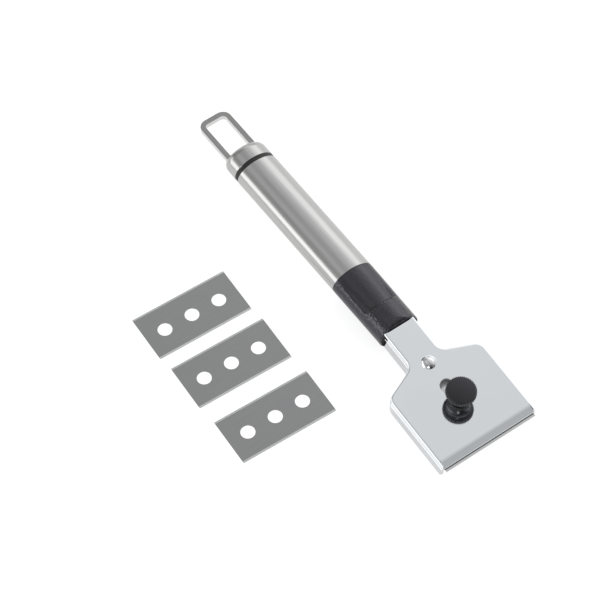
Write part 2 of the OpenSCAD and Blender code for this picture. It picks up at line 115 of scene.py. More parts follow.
# Head
HEAD_TILT = math.radians(7)
PLATE_RISE = 3.9
SHEET = 1.2
FLANGE_T = 0.8
FOLD_R = 0.9
HEAD_W = 45
NECK_W = 14.4
NECK_LEN = 14.4
NECK_FILLET = 4.8
SHOULDER_ANGLE = 67
SHOULDER_R = 4
SHOULDER_FULL_X = 26.7
LIP_X = 60
LIP_LEN = 2.9
LIP_DROP = 1.2
LIP_BEND = 0.7
FLANGE_SHORT = 0.7
HEAD_DEPTH = 8.3
NECK_DEPTH = 9.2
CHANNEL_R = 1.8
CHANNEL_PROUD = 0.12
FOOT_MARK = 1
SHEET_EDGE = 0.15
FLANGE_LAP = 0.01
PLATE_START = -0.8

# Clamp, blade and rivet
STUD_X = 40
BLADE_TRAVEL = 8
SLOT_R = 2.92
BLADE_L = 43
BLADE_W = 22
BLADE_T = 0.3
BLADE_HOLE_R = 3
BLADE_HOLE_PITCH = 12.7
BLADE_BEVEL = 0.9
BLADE_OUT = 1
BLADE_HOLE_EDGE = 0.04
SPARE_TURN = math.radians(-2.3)
CARRIER_T = 1.2
KNOB_TOP = 9.5
KNOB_R = 6.2
KNOB_RIM = 3.1
KNOB_FOOT_R = 3.4
KNOB_FOOT_H = 0.8
KNOB_CHAMFER = 0.3
KNOB_CROWN = 0.4
KNOB_CROWN_IN = 0.3
KNOB_TOP_IN = 0.05
KNOB_TOP_DOWN = 0.06
KNOB_EDGE = 0.15
KNOB_RECESS = 0.7
KNURL_DEPTH = 0.36
KNURL_COUNT = 44
KNURL_FOOT = 0.1
KNURL_SLOPE = 0.2
WASHER_T = 0.5
WASHER_R = 3.9
WASHER_EDGE = 0.1
STUD_BORE_R = 2.05
RIVET_X = 19.8
RIVET_HEAD_R = 3.1
RIVET_HEAD_H = 1.5
RIVET_R = 1.5
RIVET_TAIL_R = 2.6
RIVET_TAIL_T = 0.8
RIVET_TAIL_WALL = 0.6
RIVET_TAIL_END = 0.7
SLIDE_GAP = 0.05

# Stations and levels that follow from these
TUBE_FRONT = -GRIP_LEN
TUBE_REAR = TUBE_FRONT - TUBE_LEN
RING_REAR = TUBE_REAR - RING_LEN
CAP_REAR = RING_REAR - CAP_LEN
LOOP_END = CAP_REAR - LOOP_OUT
BORE_W = HANDLE_W - 2 * TUBE_WALL
BORE_H = HANDLE_H - 2 * TUBE_WALL
BEND_START = LIP_X - LIP_LEN - LIP_BEND
FLANGE_FRONT = LIP_X - FLANGE_SHORT
BLADE_MID = LIP_X + BLADE_OUT - BLADE_W / 2
BLADE_UNDER = -SHEET - CARRIER_T - BLADE_T - 2 * SLIDE_GAP
WEB_TOP = BLADE_UNDER - SLIDE_GAP
WEB_UNDER = WEB_TOP - SHEET
COVER_FOOT = WEB_TOP + SLIDE_GAP

# Camera, fitted to the blades' corners and the scraper's edges in a frame of 600 x 600 pixels
CAMERA_TARGET = Vector((-3.89, 9.29, 0)) * MM
CAMERA_AZIMUTH = math.radians(56.98)
CAMERA_ELEVATION = math.radians(57.05)
CAMERA_ROLL = math.radians(-2.49)
CAMERA_DISTANCE = 1.1324
CAMERA_LENS = 168.7
CAMERA_SENSOR = 36
CAMERA_NEAR = 0.01
CAMERA_FAR = 50

# Studio. The room's brightness goes by the angle round the x axis, in degrees from the far horizon over the
# top to the near one, and by how far a direction points along x. Each panel has a middle, a size and a
# brightness.
ROOM_COLOUR = (0.985, 0.995, 1.0, 1)
ROOM_ROUND = {
    0: 0.8, 12: 0.85, 35: 1.0, 50: 0.86, 70: 0.63, 88: 0.43,
    107: 0.58, 122: 0.36, 138: 0.4, 150: 0.75, 166: 0.85, 180: 0.6,
}
ROOM_ALONG = {-1: 0.85, -0.75: 0.75, -0.5: 1.22, 0.1: 0.95, 0.5: 0.72, 0.72: 0.26, 0.9: 0.26, 1: 0.85}
FAR_PANEL = dict(at=(-0.9, 1.4, 1.0), size=(2.6, 0.7), radiance=0.35)
NEAR_PANEL = dict(at=(-0.85, -1.5, 0.74), size=(2.6, 0.62), radiance=1.05)
FRONT_PANEL = dict(at=(1.05, -0.68, 0.81), size=(0.45, 0.45), radiance=3)
FLOOR_SIZE = 8
FLOOR_GAP = 0.02
FLOOR_COLOUR = 0.6
FLOOR_SEEN = 0.75
FLOOR_MIRRORED = 0.62


def centre(node):
    low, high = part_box(node)
    return (low + high) / 2


def joint(name):
    return next(j for j in frame["joints"] if j["name"] == name)


# The slide's axis gives the head's tilt in the world, and the tube's middle places the handle
lie_angle = HEAD_TILT + math.asin(joint("blade_slide")["axis"][2])
handle_axis = Vector((math.cos(lie_angle), 0, math.sin(lie_angle)))
grip_face = centre("handle_tube") + handle_axis * (TUBE_LEN / 2 + GRIP_LEN) * MM
IN_HANDLE = (
    Matrix.Translation(grip_face)
    @ Matrix.Rotation(-lie_angle, 4, "Y")
    @ Matrix.Scale(MM, 4)
)
IN_HEAD = IN_HANDLE @ Matrix.Translation((0, 0, PLATE_RISE)) @ Matrix.Rotation(HEAD_TILT, 4, "Y")


class Shape:
    """A mesh in the making, in millimetres."""

    def __init__(self):
        self.bm = bmesh.new()

    def ring(self, points):
        return [self.bm.verts.new(p) for p in points]

    def skin(self, rings, closed=True, slots=None):
        """Joins each ring to the next. slots gives the material slot of each place round the ring."""
        for a, b in zip(rings, rings[1:]):
            for i in range(len(a) if closed else len(a) - 1):
                j = (i + 1) % len(a)
                face = self.bm.faces.new((a[i], a[j], b[j], b[i]))
                face.material_index = slots[i] if slots else 0

    def cap(self, ring, slot=0):
        self.bm.faces.new(ring).material_index = slot

    def flat(self, outer, *holes, slot=0):
        """Fills the flat area inside outer and outside the holes."""
        edges = []
        for loop in (outer, *holes):
            for a, b in zip(loop, loop[1:] + loop[:1]):
                edges.append(self.bm.edges.get((a, b)) or self.bm.edges.new((a, b)))
        made = bmesh.ops.triangle_fill(self.bm, edges=edges, use_beauty=True)
        for part in made["geom"]:
            if isinstance(part, bmesh.types.BMFace):
                part.material_index = slot


def piece(name, shape, place, materials, body, nodes, crease=35):
    """Makes the mesh of shape a piece that stands for the CAD nodes and rides on their body."""
    bmesh.ops.remove_doubles(shape.bm, verts=shape.bm.verts, dist=1e-4)
    bmesh.ops.recalc_face_normals(shape.bm, faces=shape.bm.faces)
    mesh = bpy.data.meshes.new(name)
    shape.bm.to_mesh(mesh)
    shape.bm.free()
    mesh.transform(place)
    mesh.shade_smooth()
    mesh.set_sharp_from_angle(angle=math.radians(crease))
    for material in materials:
        mesh.materials.append(material)
    obj = bpy.data.objects.new(name, mesh)
    bpy.context.scene.collection.objects.link(obj)
    weighted = obj.modifiers.new("weighted_normals", "WEIGHTED_NORMAL")
    weighted.keep_sharp = True
    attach(obj, body)
    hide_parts(*nodes)
    return obj


def arc(cx, cy, r, start, end, steps=12):
    """Points of an arc, from start to end in degrees."""
    out = []
    for i in range(steps + 1):
        a = math.radians(start + (end - start) * i / steps)
        out.append((cx + r * math.cos(a), cy + r * math.sin(a)))
    return out


def oval(w, h, steps=256):
    """The handle's section."""
    angles = [math.tau * i / steps for i in range(steps)]
    return [(w / 2 * math.cos(a), h / 2 * math.sin(a)) for a in angles]


def along(shape, x, section):
    """A ring of the section at x along the handle."""
    return shape.ring([(x, y, z) for y, z in section])


def revolve(shape, profile, x, steps=96, radius=lambda r, a: r):
    """Rings of a profile of (radius, z) round the vertical line at x."""
    rings = []
    for r, z in profile:
        angles = [math.tau * i / steps for i in range(steps)]
        rings.append(
            shape.ring([(x + radius(r, a) * math.cos(a), radius(r, a) * math.sin(a), z) for a in angles])
        )
    shape.skin(rings)
    return rings


# Materials. The scales of their noise are in repeats a metre, and the ripple's depth in metres.
WEAR_SCALE = 90
HAZE_SCALE = 60
RIPPLE_SCALE = 220
RIPPLE_DEPTH = 1.2e-6
CLOUD_SCALE = 110


def principled(name, **values):
    """A material, its node tree and its shader, with the plain values set on the shader's own sockets."""
    material = bpy.data.materials.new(name)
    material.use_nodes = True
    tree = material.node_tree
    shader = tree.nodes["Principled BSDF"]
    for socket, value in values.items():
        shader.inputs[socket.replace("_", " ")].default_value = value
    return material, tree, shader


def noise(tree, scale, stretch=(1, 1, 1), detail=3.0, rough=0.5):
    """Noise over the object's own place in metres, finer where stretch is larger."""
    where = tree.nodes.new("ShaderNodeTexCoord")
    mapping = tree.nodes.new("ShaderNodeMapping")
    mapping.inputs["Scale"].default_value = stretch
    made = tree.nodes.new("ShaderNodeTexNoise")
    made.inputs["Scale"].default_value = scale
    made.inputs["Detail"].default_value = detail
    made.inputs["Roughness"].default_value = rough
    tree.links.new(where.outputs["Object"], mapping.inputs["Vector"])
    tree.links.new(mapping.outputs["Vector"], made.inputs["Vector"])
    return made.outputs["Fac"]


def spread(tree, value, low, high, start=0.3, end=0.7):
    """value taken from start..end to low..high."""
    made = tree.nodes.new("ShaderNodeMapRange")
    made.inputs["From Min"].default_value = start
    made.inputs["From Max"].default_value = end
    made.inputs["To Min"].default_value = low
    made.inputs["To Max"].default_value = high
    tree.links.new(value, made.inputs["Value"])
    return made.outputs["Result"]


def tint(tree, value, first, second):
    """A colour from first to second as value goes from 0.3 to 0.7."""
    ramp = tree.nodes.new("ShaderNodeValToRGB")
    ramp.color_ramp.elements[0].position = 0.3
    ramp.color_ramp.elements[0].color = (*first, 1)
    ramp.color_ramp.elements[1].position = 0.7
    ramp.color_ramp.elements[1].color = (*second, 1)
    tree.links.new(value, ramp.inputs["Fac"])
    return ramp.outputs["Color"]


def math_node(tree, operation, first, second):
    """A math node of two sockets or values."""
    made = tree.nodes.new("ShaderNodeMath")
    made.operation = operation
    for socket, value in zip(made.inputs, (first, second)):
        if isinstance(value, bpy.types.NodeSocket):
            tree.links.new(value, socket)
        else:
            socket.default_value = value
    return made.outputs[0]


def bump(tree, shader, value, depth):
    """Bump of that depth in metres."""
    made = tree.nodes.new("ShaderNodeBump")
    made.inputs["Distance"].default_value = depth
    made.inputs["Strength"].default_value = 1.0
    tree.links.new(value, made.inputs["Height"])
    tree.links.new(made.outputs["Normal"], shader.inputs["Normal"])


def brushed(name, dark, light, rough, stretch, depth=4e-6):
    """Metal with fine brush lines along the axis where stretch is small, and soft wear blotches."""
    material, tree, shader = principled(name, Metallic=1.0)
    lines = noise(tree, 1.0, stretch, detail=4, rough=0.6)
    cloud = noise(tree, WEAR_SCALE, detail=2)
    tree.links.new(tint(tree, lines, dark, light), shader.inputs["Base Color"])
    fine = spread(tree, lines, rough * 0.9, rough * 1.1)
    broad = spread(tree, cloud, -rough * 0.08, rough * 0.08)
    tree.links.new(math_node(tree, "ADD", fine, broad), shader.inputs["Roughness"])
    bump(tree, shader, lines, depth)
    return material


def chrome(name, colour, dull, rough):
    """Bright plating with a faint haze and a slightly uneven surface."""
    material, tree, shader = principled(name, Metallic=1.0)
    haze = noise(tree, HAZE_SCALE, detail=4, rough=0.6)
    tree.links.new(tint(tree, haze, dull, colour), shader.inputs["Base Color"])
    tree.links.new(spread(tree, haze, rough * 1.4, rough * 0.7), shader.inputs["Roughness"])
    bump(tree, shader, noise(tree, RIPPLE_SCALE, detail=2), RIPPLE_DEPTH)
    return material


def moulded(name, dark, light, rough, grain, depth, octaves=3, **values):
    """Rubber or plastic with a fine moulded grain."""
    material, tree, shader = principled(name, **values)
    fine = noise(tree, grain, detail=octaves, rough=0.6)
    cloud = noise(tree, CLOUD_SCALE, detail=2)
    tree.links.new(tint(tree, cloud, dark, light), shader.inputs["Base Color"])
    tree.links.new(spread(tree, fine, rough * 1.12, rough * 0.88), shader.inputs["Roughness"])
    bump(tree, shader, fine, depth)
    return material


BRUSHED_ALONG = (25, 2200, 2200)
BRUSHED_ACROSS = (3000, 60, 3000)
BRUSHED_ROUND = (900, 900, 900)
COOL = (0.92, 0.9, 1.0, 1)
RUBBER = dict(octaves=0, Specular_IOR_Level=1.0, Specular_Tint=COOL)
GLOSSY = dict(Specular_IOR_Level=0.75, Specular_Tint=COOL)

satin_steel = brushed(
    "satin_steel", (0.485, 0.482, 0.476), (0.545, 0.542, 0.535), 0.2, BRUSHED_ALONG, depth=3e-6
)
# The loop is one steel. The flats' darker colour is painted shade and the sides' lighter colour is a painted
# highlight; the flats' rougher brushing is their own finish.
loop_flat_painted_shade = brushed("loop_flat_painted_shade", (0.31, 0.31, 0.306), (0.38, 0.38, 0.375), 0.3, BRUSHED_ALONG)
loop_side_painted_highlight = brushed("loop_side_painted_highlight", (0.66, 0.66, 0.65), (0.76, 0.76, 0.75), 0.14, BRUSHED_ALONG)
# plain_steel is the inner pieces' own finish; on the channel web's upper face its pale colour is painted
# light.
plain_steel = moulded("plain_steel", (0.8, 0.8, 0.81), (0.9, 0.9, 0.91), 0.5, 900, 5e-6, Metallic=0.4)
head_chrome = chrome("head_chrome", (0.905, 0.93, 0.955), (0.885, 0.91, 0.935), 0.05)
channel_chrome = chrome("channel_chrome", (0.68, 0.69, 0.705), (0.62, 0.63, 0.645), 0.14)
rivet_chrome = chrome("rivet_chrome", (0.84, 0.85, 0.865), (0.8, 0.81, 0.825), 0.07)
blade_steel = brushed(
    "blade_steel", (0.335, 0.336, 0.342), (0.37, 0.368, 0.364), 0.3, BRUSHED_ACROSS, depth=1e-6
)
blade_ground = brushed(
    "blade_ground", (0.74, 0.74, 0.74), (0.84, 0.84, 0.84), 0.18, BRUSHED_ALONG, depth=3e-6
)
soft_grip = moulded(
    "soft_grip", (0.004, 0.0035, 0.005), (0.007, 0.0065, 0.008), 0.2, 1250, 1.5e-4, **RUBBER
)
grip_panel = moulded(
    "grip_panel", (0.004, 0.0035, 0.005), (0.006, 0.0055, 0.007), 0.2, 1300, 9e-5, **RUBBER
)
mouth_black = moulded("mouth_black", (0.004, 0.004, 0.004), (0.006, 0.006, 0.006), 0.6, 1500, 1e-5)
seal_rubber = moulded("seal_rubber", (0.014, 0.014, 0.015), (0.022, 0.022, 0.024), 0.42, 1800, 1e-5)
dark_plastic = moulded("dark_plastic", (0.045, 0.045, 0.047), (0.055, 0.055, 0.057), 0.5, 1500, 1e-5)
knob_black = moulded(
    "knob_black", (0.005, 0.005, 0.006), (0.008, 0.008, 0.009), 0.2, 3000, 1e-5, **GLOSSY
)
washer_nylon = moulded("washer_nylon", (0.022, 0.022, 0.024), (0.03, 0.03, 0.032), 0.4, 2000, 5e-6)
insert_brass = brushed("insert_brass", (0.68, 0.54, 0.27), (0.76, 0.62, 0.33), 0.3, BRUSHED_ROUND)


# Handle


def hanging_loop():
    """The loop's bar swept along its legs and round its end. Its upper and lower flats have their slot."""
    shape = Shape()
    mid = (LOOP_W - LOOP_BAR) / 2
    bend = LOOP_R - LOOP_BAR / 2
    corner_x = LOOP_END + LOOP_R
    path = [(CAP_REAR + LOOP_LEG, mid, 90)]
    for start, side in ((90, 1), (180, -1)):
        for i in range(LOOP_TURN_STEPS + 1):
            a = start + 90 * i / LOOP_TURN_STEPS
            x = corner_x + bend * math.cos(math.radians(a))
            y = side * (mid - bend) + bend * math.sin(math.radians(a))
            path.append((x, y, a))
    path.append((CAP_REAR + LOOP_LEG, -mid, 270))
    half, high, edge = LOOP_BAR / 2 - LOOP_EDGE, LOOP_H / 2 - LOOP_EDGE, LOOP_EDGE
    section = []
    for u, z, start in ((half, high, 0), (-half, high, 90), (-half, -high, 180), (half, -high, 270)):
        section += arc(u, z, edge, start, start + 90, LOOP_EDGE_STEPS)
    # Slot 1, on the upper and lower flats, takes the darker steel of painted shade; slot 0, on the sides and
    # edges, takes the lighter steel of painted highlight.
    flats = []
    for i in range(len(section)):
        corner, place = divmod(i, LOOP_EDGE_STEPS + 1)
        flats.append(1 if place == LOOP_EDGE_STEPS and corner % 2 == 0 else 0)
    rings = []
    for x, y, a in path:
        out = (math.cos(math.radians(a)), math.sin(math.radians(a)))
        rings.append(shape.ring([(x + out[0] * u, y + out[1] * u, z) for u, z in section]))
    shape.skin(rings, slots=flats)
    shape.cap(rings[0])
    shape.cap(rings[-1])
    piece(
        "steel_loop", shape, IN_HANDLE, [loop_side_painted_highlight, loop_flat_painted_shade], "handle", ["hanging_loop"]
    )


def end_cap():
    shape = Shape()
    rings = []
    steps = 16
    for i in range(steps + 1):
        a = math.radians(90 * i / steps)
        inward = 2 * CAP_SHOULDER_IN * (1 - math.sin(a))
        x = CAP_REAR + CAP_SHOULDER_LEN * (1 - math.cos(a))
        rings.append(along(shape, x, oval(HANDLE_W - inward, HANDLE_H - inward)))
    rings.append(along(shape, RING_REAR - TUBE_EDGE, oval(HANDLE_W, HANDLE_H)))
    rings.append(along(shape, RING_REAR, oval(HANDLE_W - 2 * TUBE_EDGE, HANDLE_H - 2 * TUBE_EDGE)))
    rings.append(along(shape, RING_REAR, oval(BORE_W, BORE_H)))
    rings.append(along(shape, RING_REAR - CAP_SEAT, oval(BORE_W, BORE_H)))
    shape.skin(rings)
    shape.cap(rings[0])
    shape.cap(rings[-1])
    piece("steel_cap", shape, IN_HANDLE, [satin_steel], "handle", ["end_cap"])


def sleeve(name, profile, bore, materials, nodes):
    """A band of the handle's section. profile is a list of (x, how far the surface lies below the oval)."""
    shape = Shape()
    rings = []
    for x, below in profile:
        rings.append(along(shape, x, oval(HANDLE_W - 2 * below, HANDLE_H - 2 * below)))
    for x in (profile[-1][0], profile[0][0]):
        rings.append(along(shape, x, oval(*bore)))
    shape.skin(rings + rings[:1])
    piece(name, shape, IN_HANDLE, materials, "handle", nodes)


def handle_tube():
    profile = [
        (TUBE_REAR, TUBE_EDGE),
        (TUBE_REAR + TUBE_EDGE / 3, TUBE_EDGE / 3),
        (TUBE_REAR + TUBE_EDGE, 0),
        (TUBE_FRONT - TUBE_EDGE, 0),
        (TUBE_FRONT - TUBE_EDGE / 3, TUBE_EDGE / 3),
        (TUBE_FRONT, TUBE_EDGE),
    ]
    sleeve("steel_tube", profile, (BORE_W, BORE_H), [satin_steel], ["handle_tube"])


def seal_ring():
    """A ring with a soft crown, from shares of its length and how far each place lies below the oval."""
    crown = [(0.0, 0.4), (0.08, 0.2), (0.2, 0.12), (0.5, 0.1), (0.8, 0.12), (0.92, 0.2), (1.0, 0.4)]
    profile = [(RING_REAR + share * RING_LEN, below) for share, below in crown]
    sleeve("black_ring", profile, (BORE_W, BORE_H), [seal_rubber], ["seal_ring"])


def thumb_panel(x, y):
    """How far the thumb panel is sunk at a place, from 0 outside its outline to 1 on its floor."""
    from_front = -THUMB_FRONT - x
    from_side = THUMB_W / 2 - abs(y)
    inside = min(from_front, from_side)
    if from_front < THUMB_R and from_side < THUMB_R:
        inside = THUMB_R - math.hypot(THUMB_R - from_front, THUMB_R - from_side)
    near_front = smooth(0.5 + (from_side - from_front) / (2 * THUMB_R))
    return smooth(inside / (THUMB_SIDE_SLOPE + (THUMB_FRONT_SLOPE - THUMB_SIDE_SLOPE) * near_front))


def smooth(share):
    share = min(1, max(0, share))
    return share * share * (3 - 2 * share)


def grip():
    """The sleeve, ring by ring from the tube to the front, with the thumb recess and a falling nose."""
    shape = Shape()
    rings = []

    def add(x, below, rim=0):
        ahead = min(1, max(0, (x - TUBE_FRONT) / (GRIP_LEN - GRIP_EDGE)))
        deepest = THUMB_REAR_DEPTH + (THUMB_DEPTH - THUMB_REAR_DEPTH) * smooth(ahead * THUMB_RAMP)
        rounding = 1 - math.sqrt(1 - min(1, max(0, 1 + x / NOSE_LEN)) ** 2)
        nose_top = HANDLE_H / 2 - (HANDLE_H / 2 - PLATE_RISE - NOSE_GAP) * rounding
        section = []
        for y, z in oval(1, 1):
            taper = 1 - GRIP_TAPER * max(0, (2 * z - TAPER_FROM) / (1 - TAPER_FROM)) * smooth(ahead)
            flat_y = y * HANDLE_W * taper
            sunk = deepest * thumb_panel(x, flat_y) if z > 0 else 0
            deeper = GRIP_DROP * ahead if z < 0 else 0
            inward = 2 * (below + rim + sunk)
            side = inward + 2 * NOSE_SIDE * rounding * max(0, 2 * z)
            level = min(z * (HANDLE_H - inward + 2 * deeper), nose_top - rim)
            section.append((y * (HANDLE_W - side) * taper, level))
        rings.append(along(shape, x, section))

    for x, below in GRIP_REAR_EDGE:
        add(TUBE_FRONT + x, below)
    count = round((GRIP_LEN - GRIP_EDGE) / GRIP_STEP)
    for i in range(2, count + 1):
        add(TUBE_FRONT + i * GRIP_STEP, 0)
    steps = 8
    for i in range(1, steps + 1):
        a = math.radians(90 * i / steps)
        add(-GRIP_EDGE * (1 - math.sin(a)), GRIP_INSET * (1 - math.cos(a)))
    add(0, GRIP_INSET, POCKET_RIM)
    pocket = [vertex.co for vertex in rings[-1]]
    rings.append(shape.ring([(-POCKET_DEPTH, y, z) for _, y, z in pocket]))
    bore = oval(HANDLE_W - 2 * GRIP_WALL, HANDLE_H - 2 * GRIP_WALL)
    inner = [along(shape, x, bore) for x in (-GRIP_FRONT_WALL, TUBE_FRONT)]
    shape.skin([*inner, *rings])
    shape.cap(inner[0])
    shape.cap(rings[-1], slot=2)
    for face in shape.bm.faces:
        middle = face.calc_center_median()
        if middle.z > 0 and thumb_panel(middle.x, middle.y) > 0.5:
            face.material_index = 1
    finishes = [soft_grip, grip_panel, mouth_black]
    piece("soft_sleeve", shape, IN_HANDLE, finishes, "handle", ["grip"])


# Head


def head_side(inward, end, extra=()):
    """One side of the head's outline, drawn in by inward, from the grip to end. extra adds places on it."""
    shoulder_y = HEAD_W / 2 - SHOULDER_R
    turn = math.radians(SHOULDER_ANGLE)
    start_y = shoulder_y + SHOULDER_R * math.cos(turn)
    fillet_x = NECK_LEN + NECK_FILLET * math.sin(turn)
    fillet_y = NECK_W / 2 + NECK_FILLET * (1 - math.cos(turn))
    shoulder_x = fillet_x + (start_y - fillet_y) / math.tan(turn) + SHOULDER_R * math.sin(turn)
    points = [(PLATE_START, NECK_W / 2 - inward)]
    points += arc(NECK_LEN, NECK_W / 2 + NECK_FILLET, NECK_FILLET + inward, -90, SHOULDER_ANGLE - 90)
    points += arc(shoulder_x, shoulder_y, SHOULDER_R - inward, SHOULDER_ANGLE + 90, 90)
    points += [(x, HEAD_W / 2 - inward) for x in (*extra, end)]
    return points


def slot_ring(shape, wider, z):
    """The cover's slot at a level, from the stud back over the blade's travel."""
    points = arc(STUD_X, 0, SLOT_R + wider, -90, 90, steps=24)
    points += arc(STUD_X - BLADE_TRAVEL, 0, SLOT_R + wider, 90, 270, steps=24)
    return shape.ring([(x, y, z) for x, y in points])


def strip(shape, profile, end, side, bottom=None, extra=()):
    """Skins a section along one side of the head. profile is a list of (how far in, level), and bottom may
    give another level for a place."""
    rings = []
    for inward, z in profile:
        points = head_side(inward, end, extra)
        level = bottom or (lambda x, z: z)
        rings.append(shape.ring([(x, side * y, level(x, z)) for x, y in points]))
    shape.skin(rings, closed=False)
    return rings


def cover_plate():
    shape = Shape()
    fold = [(FOLD_R - x, z - FOLD_R) for x, z in arc(0, 0, FOLD_R, 90, 0, steps=10)]
    profile = fold + [
        (0, COVER_FOOT + SHEET_EDGE),
        (SHEET_EDGE, COVER_FOOT),
        (FLANGE_T, COVER_FOOT),
        (FLANGE_T, FOLD_R - FLANGE_T - SHEET),
        (FOLD_R, -SHEET),
    ]
    left = strip(shape, profile, BEND_START, 1)
    right = strip(shape, profile, BEND_START, -1)
    shape.cap([ring[0] for ring in left + right[::-1]])
    for rings in (left, right):
        shape.cap([ring[-1] for ring in rings])
    holes = [
        slot_ring(shape, wider, z)
        for wider, z in ((SHEET_EDGE, 0), (0, -SHEET_EDGE), (0, SHEET_EDGE - SHEET), (SHEET_EDGE, -SHEET))
    ]
    shape.skin(holes)
    shape.flat(left[0] + right[0][::-1], holes[0])
    shape.flat(left[-1] + right[-1][::-1], holes[-1])
    lip(shape)
    for side in (1, -1):
        flange_nose(shape, fold, side)
    piece(
        "chromed_cover", shape, IN_HEAD, [head_chrome], "handle", ["cover_plate"], crease=30
    )


def lip(shape):
    """The front lip between the side flanges: a soft bend, a sloping strip and its rounded front edge."""
    half = HEAD_W / 2 - FOLD_R
    slope = math.atan2(LIP_DROP, LIP_LEN)
    radius = LIP_BEND / math.tan(slope / 2)
    turn = arc(0, 0, radius, 90, 90 - math.degrees(slope), steps=8)
    bend = [(BEND_START + x, z - radius) for x, z in turn]
    ahead = Vector((math.cos(slope), -math.sin(slope)))
    down = Vector((ahead.y, -ahead.x))
    edge = Vector((LIP_X, -LIP_DROP))
    front = [
        edge - ahead * SHEET_EDGE,
        edge + down * SHEET_EDGE,
        edge + down * (SHEET - SHEET_EDGE),
        edge + down * SHEET - ahead * SHEET_EDGE,
    ]
    outline = [*bend, *front, (BEND_START, -SHEET)]
    rings = [shape.ring([(x, y, z) for x, z in outline]) for y in (-half, half)]
    shape.skin(rings, closed=False)
    for ring in rings:
        shape.cap(ring)


def flange_nose(shape, fold, side):
    """The side flange beyond the lip's bend, with its own free top edge."""
    top = math.sqrt(FOLD_R**2 - (FOLD_R - FLANGE_T) ** 2) - FOLD_R
    outer = [(inward, z) for inward, z in fold if inward < FLANGE_T]
    foot = [(0, COVER_FOOT + SHEET_EDGE), (SHEET_EDGE, COVER_FOOT), (FLANGE_T, COVER_FOOT)]
    section = [(FLANGE_T, top), *outer, *foot]
    rings = []
    rear = BEND_START - FLANGE_LAP
    for x, shrink in ((rear, 0), (FLANGE_FRONT - SHEET_EDGE, 0), (FLANGE_FRONT, SHEET_EDGE)):
        ring = []
        for inward, z in section:
            level = min(max(z, COVER_FOOT + shrink), top - shrink)
            drawn_in = min(max(inward, shrink), FLANGE_T - shrink / 2)
            ring.append((x, side * (HEAD_W / 2 - drawn_in), level))
        rings.append(shape.ring(ring))
    shape.skin(rings)
    shape.cap(rings[0])
    shape.cap(rings[-1])


def channel_bottom(x, z):
    """Level of the channel's lower edge at x: deeper at the neck, with round front corners."""
    if z >= WEB_UNDER:
        return z
    share = min(1, max(0, (x - NECK_LEN) / (SHOULDER_FULL_X - NECK_LEN)))
    level = -NECK_DEPTH + (NECK_DEPTH - HEAD_DEPTH) * share
    beyond = x - (FLANGE_FRONT - CHANNEL_R)
    if beyond > 0:
        level += CHANNEL_R - math.sqrt(max(0, CHANNEL_R**2 - min(beyond, CHANNEL_R) ** 2))
    return level + z - WEB_UNDER + FOOT_MARK


def base_channel():
    shape = Shape()
    corner = [FLANGE_FRONT - CHANNEL_R + CHANNEL_R * math.sin(math.radians(a)) for a in range(0, 90, 10)]
    # channel_bottom moves this level, and the one a rounding above it, to the channel's lower edge
    foot = WEB_UNDER - FOOT_MARK
    proud = -CHANNEL_PROUD
    profile = [
        (FLANGE_T, WEB_TOP),
        (proud + SHEET_EDGE, WEB_TOP),
        (proud, WEB_TOP - SHEET_EDGE),
        (proud, foot + SHEET_EDGE),
        (proud + SHEET_EDGE, foot),
        (FLANGE_T - SHEET_EDGE, foot),
        (FLANGE_T, foot + SHEET_EDGE),
        (FLANGE_T, WEB_UNDER),
    ]
    left = strip(shape, profile, FLANGE_FRONT, 1, channel_bottom, corner)
    right = strip(shape, profile, FLANGE_FRONT, -1, channel_bottom, corner)
    # The web's upper face lies in shade under the cover and is seen through its slot. It takes the paler
    # plain steel as painted light; the lower face keeps the chrome.
    for level, slot in ((0, 1), (-1, 0)):
        shape.flat(left[level] + right[level][::-1], slot=slot)
    for end in (0, -1):
        shape.cap([ring[end] for ring in left + right[::-1]])
    finishes = [channel_chrome, plain_steel]
    piece(
        "steel_channel", shape, IN_HEAD, finishes, "handle", ["base_channel"], crease=30
    )


def neck_rivet():
    shape = Shape()
    dome = (RIVET_HEAD_R**2 + RIVET_HEAD_H**2) / (2 * RIVET_HEAD_H)
    reach = math.asin(RIVET_HEAD_R / dome)
    profile = []
    steps = 18
    for i in range(1, steps + 1):
        a = reach * i / steps
        profile.append((dome * math.sin(a), RIVET_HEAD_H - dome * (1 - math.cos(a))))
    profile += [
        (RIVET_R, 0),
        (RIVET_R, WEB_UNDER),
        (RIVET_TAIL_R, WEB_UNDER),
        (RIVET_TAIL_R, WEB_UNDER - RIVET_TAIL_T * RIVET_TAIL_WALL),
        (RIVET_TAIL_R * RIVET_TAIL_END, WEB_UNDER - RIVET_TAIL_T),
    ]
    rings = revolve(shape, profile, RIVET_X)
    shape.cap(rings[0])
    shape.cap(rings[-1])
    piece("domed_rivet", shape, IN_HEAD, [rivet_chrome], "handle", ["neck_rivet"])


# Clamp and blades


